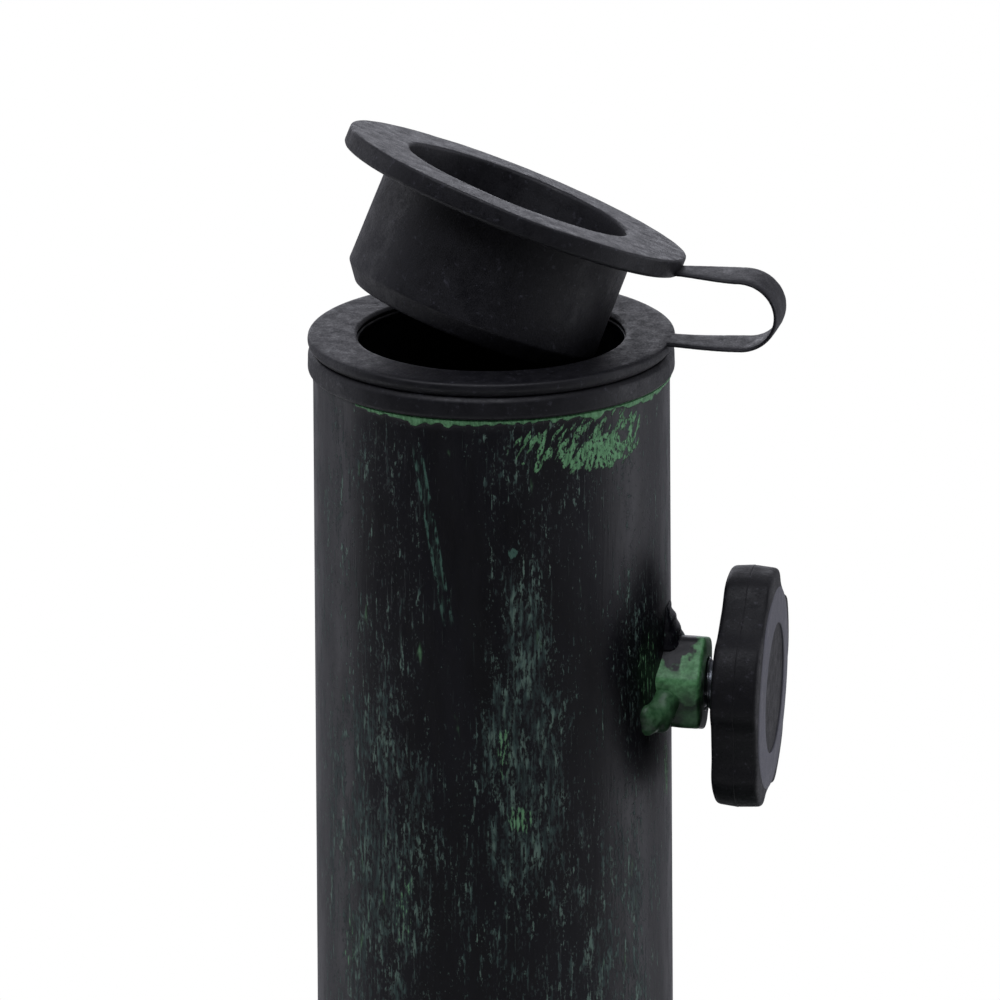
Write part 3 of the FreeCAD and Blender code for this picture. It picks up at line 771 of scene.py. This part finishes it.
def tube():
    """The tube with its rolled lip and the thick paint that collected under it."""
    top = TUBE_TOP
    bore = TUBE_R - TUBE_WALL
    wall = [(bore, TUBE_FOOT_Z), (TUBE_R, TUBE_FOOT_Z)]
    wall += [(TUBE_R, TUBE_FOOT_Z + (top - LIP_BAND - TUBE_FOOT_Z) * k / 24) for k in range(1, 25)]
    wall += [(TUBE_R, top - LIP_BAND + 7.0 * k / 20) for k in range(1, 21)]
    wall += [(TUBE_R + 0.12 * k / 6, top - 2.0 + 1.7 * k / 6) for k in range(1, 7)]
    wall += [(TUBE_R - 0.1, top), (bore, top)]

    def shape(a, r, z):
        if r < TUBE_R or z < top - 8.9:
            return (r, z)
        return (r + 0.22 * lip_paint(a, z), z)

    body = lathe("tube_detail", wall, 480, shape=shape, sharp=50.0)
    layer = body.data.attributes.new("paint", "FLOAT", "POINT")
    for i, vertex in enumerate(body.data.vertices):
        x, y, z = vertex.co / MM
        outside = z > top - LIP_BAND and math.hypot(x, y) > TUBE_R - 0.5
        layer.data[i].value = lip_paint(math.atan2(y, x), z) if outside else 0.0
    drill(body, STUD_R + 0.5)
    place(body, Matrix.Identity(4), "tube_paint", "base", "tube")


def drill(body, radius):
    """Opens the clamp hole through the wall behind the nut."""
    work = bmesh.new()
    bmesh.ops.create_cone(work, cap_ends=True, segments=48, radius1=radius * MM, radius2=radius * MM,
                          depth=12 * MM, matrix=clamp_matrix(TUBE_R - 1))
    bit = bpy.data.objects.new("bit", bpy.data.meshes.new("bit"))
    work.to_mesh(bit.data)
    work.free()
    bpy.context.scene.collection.objects.link(bit)
    hole = body.modifiers.new("hole", "BOOLEAN")
    hole.object, hole.operation, hole.solver = bit, "DIFFERENCE", "EXACT"
    body.data = bpy.data.meshes.new_from_object(body.evaluated_get(bpy.context.evaluated_depsgraph_get()))
    body.modifiers.clear()
    bpy.data.objects.remove(bit)


def lip_paint(a, z):
    """How thick the green paint stands at an angle and height under the lip, 0 to 1."""
    c, s = math.cos(a), math.sin(a)
    wave = noise.noise(Vector((c * 2.6, s * 2.6, 4.0))) * 0.7 + noise.noise(Vector((c * 9, s * 9, 9.0))) * 0.7
    wave += noise.noise(Vector((c * 26, s * 26, 2.0))) * 0.5
    bare = abs((math.degrees(a) - 205 + 180) % 360 - 180)
    reach = (1.0 + 0.95 * wave) * max(0.0, min(1.0, (bare - 22) / 22))
    lumps = noise.noise(Vector((c * 17, s * 17, z * 0.9)))
    depth = (TUBE_TOP - z) / max(0.08, reach + 0.35 * lumps)
    return max(0.0, min(1.0, (1.0 - depth) * 2.5 + 0.3 * lumps))


def relief(r, a):
    """Ornament on the plate, 0 to 1: long petals between the rim and the hub, beads at both ends."""
    inner, outer = 92.0, 196.0
    height = 0.0
    if inner < r < outer:
        u = (r - inner) / (outer - inner)
        sector = (a / (2 * math.pi) * PETALS) % 1.0 - 0.5
        half = 0.46 * math.sin(math.pi * min(1.0, u * 0.93 + 0.05)) ** 0.6
        edge = half - abs(sector)
        width = edge * 2 * math.pi * r / PETALS
        if width > 0:
            body = min(1.0, width / 5.0)
            height = 0.55 * body * body * (3 - 2 * body)
            rib = math.exp(-((sector * 2 * math.pi * r / PETALS) / 2.2) ** 2)
            veins = 0.5 + 0.5 * math.cos((u * 13 - abs(sector) * 9) * 2 * math.pi)
            height += 0.35 * rib + 0.14 * veins * body
        frame = math.exp(-((width - 1.2) / 1.3) ** 2)
        height = max(height, 0.95 * frame)
        other = ((a / (2 * math.pi) * PETALS + 0.5) % 1.0 - 0.5) * 2 * math.pi * r / PETALS
        dot = math.hypot(r - 186.0, other)
        height = max(height, max(0.0, 1 - (dot / 6.5) ** 2) ** 0.5)
    for ring, count, size in ((203.5, 96, 4.2), (87.5, 42, 3.6)):
        across = ((a / (2 * math.pi) * count) % 1.0 - 0.5) * 2 * math.pi * r / count
        dome = 1 - (math.hypot(r - ring, across) / size) ** 2
        height = max(height, max(0.0, dome) ** 0.5)
    return height


def casting():
    """Cast plate with petals in relief, rows of beads, a flared hub with ribs and the socket."""
    quarter = [math.pi / 2 * k / 14 for k in range(1, 15)]
    hub_curve = [(HUB_R - 31 * math.sin(a), 26.0 + 26.0 * (1 - math.cos(a)) ** 1.25) for a in quarter]
    rim = fillet([(222.0, 5.0, 1.0), (225.0, 7.5, 2.0), (225.0, 12.5, 3.0), (221.0, 17.0, 3.0),
                  (212.0, 17.8, 1.5), (210.0, 19.6, 1.2), (207.0, 18.0, 0.8)], closed=False)
    plate = [(207.0 - (207.0 - 84.0) * k / 96, 18.0 + 7.2 * k / 96) for k in range(1, 97)]
    collar_top = fillet([(37.0, 52.5, 0), (37.0, 53.4, 0.4), (39.0, 54.4, 0.6), (39.0, 58.6, 1.0),
                         (37.0, 59.8, 0.6), (35.2, 60.6, 0.4), (35.2, 64.6, 0.8), (33.6, 66.0, 0.8),
                         (30.2, 66.0, 0.2), (30.2, 62.0, 0)], closed=False)
    under = [(27.15, 62.0), (27.15, 29.0), (6.6, 29.0), (6.6, 19.0), (20.0, 19.0)]
    outline = [(20.0, 5.0), (120.0, 5.0)] + rim + plate
    outline += [(80.0, 26.3), (76.0, 26.2), (72.0, 26.0), (68.5, 26.0)]
    outline += hub_curve + densify(collar_top, 1.4, closed=False) + under
    proud = []

    def shape(a, r, z):
        height = 0.0
        if 84 < r < 208 and z > 15:
            height = relief(r, a)
            z += 1.5 * height
        elif 40 < r < 68 and z > 25:
            u = (68 - r) / 28
            flute = 0.5 + 0.5 * math.cos(a * HUB_FLUTES)
            height = flute * math.sin(math.pi * u) ** 0.7
            r += 1.3 * height * (0.4 + 0.6 * u)
            z += 1.0 * height * (1 - u)
        elif z > 53 and r > 36.5:
            height = 0.8
        elif r > 209 and z > 15:
            height = 0.65
        proud.append(min(1.0, height))
        p = (r * math.cos(a), r * math.sin(a), z)
        rough = grain(p, 6.0) * 0.10 if z > 5.1 and r > 31 else 0.0
        return (r, z + rough)

    body = lathe("base_casting_detail", outline, 720, shape=shape, sharp=45.0)
    layer = body.data.attributes.new("proud", "FLOAT", "POINT")
    layer.data.foreach_set("value", proud)
    place(body, Matrix.Identity(4), "cast_iron", "base", "base_casting")


casting()
tube()
welds()
nut()
stud()
knob()
collar()
strap()
rain_cap()

# ---------------------------------------------------------------- stage

# Metres, degrees and strengths
FLOOR_R = 0.62
STUDIO_FRONT, STUDIO_BACK = 0.04, 0.4
LIGHT_COLOR = (0.90, 0.91, 1.0)
CAMERA_AZIMUTH, CAMERA_ELEVATION, CAMERA_ROLL = 8.5, 16.9, 0.35
CAMERA_DISTANCE, FRAME_WIDTH = 6.0, 0.15126
AIM_RIGHT, AIM_DOWN = 0.00133, 0.0256


def stage():
    """World that lights from behind and shows white to the camera, and the paper floor."""
    scene = bpy.context.scene
    scene.view_settings.view_transform = "Standard"
    world = bpy.data.worlds.new("studio")
    scene.world = world
    world.use_nodes = True
    tree = world.node_tree
    glow = tree.nodes["Background"]
    glow.inputs[0].default_value = (0.90, 0.90, 1.0, 1)
    side = tree.nodes.new("ShaderNodeVectorMath")
    side.operation = "DOT_PRODUCT"
    side.inputs[1].default_value = Vector((0, 0, 0.45)) - flat_back
    tree.links.new(tree.nodes.new("ShaderNodeTexCoord").outputs["Generated"], side.inputs[0])
    level = tree.nodes.new("ShaderNodeMapRange")
    level.interpolation_type = "SMOOTHSTEP"
    level.inputs["From Min"].default_value = -0.15
    level.inputs["From Max"].default_value = 0.85
    level.inputs["To Min"].default_value = STUDIO_FRONT
    level.inputs["To Max"].default_value = STUDIO_BACK
    tree.links.new(side.outputs["Value"], level.inputs["Value"])
    tree.links.new(level.outputs[0], glow.inputs[1])
    paper = tree.nodes.new("ShaderNodeBackground")
    seen = tree.nodes.new("ShaderNodeLightPath")
    both = tree.nodes.new("ShaderNodeMixShader")
    tree.links.new(seen.outputs["Is Camera Ray"], both.inputs[0])
    tree.links.new(glow.outputs[0], both.inputs[1])
    paper.inputs[0].default_value = (1, 1, 1, 1)
    tree.links.new(paper.outputs[0], both.inputs[2])
    tree.links.new(both.outputs[0], tree.nodes["World Output"].inputs[0])

    bpy.ops.mesh.primitive_circle_add(vertices=96, radius=FLOOR_R, fill_type="NGON")
    floor = bpy.context.object
    floor.name = "floor"
    s = Shader("floor_paper")
    fibres = s.noise(s.stretched(300, 300, 300), detail=3)
    floor.data.materials.append(s.finish(s.mix(fibres, rgb(247, 247, 243), rgb(252, 252, 248)), 0.9))


def area_light(name, spot, target, width, height, power):
    light = bpy.data.lights.new(name, "AREA")
    light.shape = "RECTANGLE"
    light.size, light.size_y, light.energy = width, height, power
    light.color = LIGHT_COLOR
    obj = bpy.data.objects.new(name, light)
    bpy.context.scene.collection.objects.link(obj)
    obj.location = spot
    obj.visible_camera = False
    obj.rotation_euler = (Vector(target) - Vector(spot)).to_track_quat("-Z", "Y").to_euler()


def camera():
    """Long-lens camera; returns its right and back directions."""
    az, el, roll = (math.radians(t) for t in (CAMERA_AZIMUTH, CAMERA_ELEVATION, CAMERA_ROLL))
    right = Vector((math.cos(az), math.sin(az), 0))
    up = Vector((-math.sin(az) * math.sin(el), math.cos(az) * math.sin(el), math.cos(el)))
    back = Vector((math.sin(az) * math.cos(el), -math.cos(az) * math.cos(el), math.sin(el)))
    right, up = right * math.cos(roll) - up * math.sin(roll), up * math.cos(roll) + right * math.sin(roll)
    target = Vector((0, 0, MOUTH_Z * MM)) + right * AIM_RIGHT - up * AIM_DOWN
    data = bpy.data.cameras.new("camera")
    data.lens = data.sensor_width * CAMERA_DISTANCE / FRAME_WIDTH
    data.clip_end = 50
    obj = bpy.data.objects.new("camera", data)
    bpy.context.scene.collection.objects.link(obj)
    frame3 = Matrix((right, up, back)).transposed().to_4x4()
    obj.matrix_world = Matrix.Translation(target + back * CAMERA_DISTANCE) @ frame3
    bpy.context.scene.camera = obj
    return right, back


right, back = camera()
flat_right = Vector((right.x, right.y, 0)).normalized()
flat_back = Vector((back.x, back.y, 0)).normalized()
stage()
focus = Vector((0, 0, 0.3))
area_light("left strip", focus - flat_right * 0.95 - flat_back * 0.34, focus, 0.4, 1.2, 1.35)
area_light("right strip", focus + flat_right * 0.97 - flat_back * 0.12, focus, 0.6, 1.2, 2.7)
area_light("right fill", focus + flat_right * 0.85 + flat_back * 0.75, focus, 0.7, 1.2, 0.3)
area_light("left fill", focus - flat_right * 1.05 + flat_back * 0.4, focus, 0.8, 1.2, 0.2)
area_light("key", focus + Vector((0, 0, 0.95)) + flat_back * 0.45 - flat_right * 0.15, focus, 1.0, 0.8, 5.5)
above = focus + Vector((0, 0, 0.3))
area_light("back card", above - flat_back * 1.6 - flat_right * 0.15, above, 1.2, 0.7, 3.2)
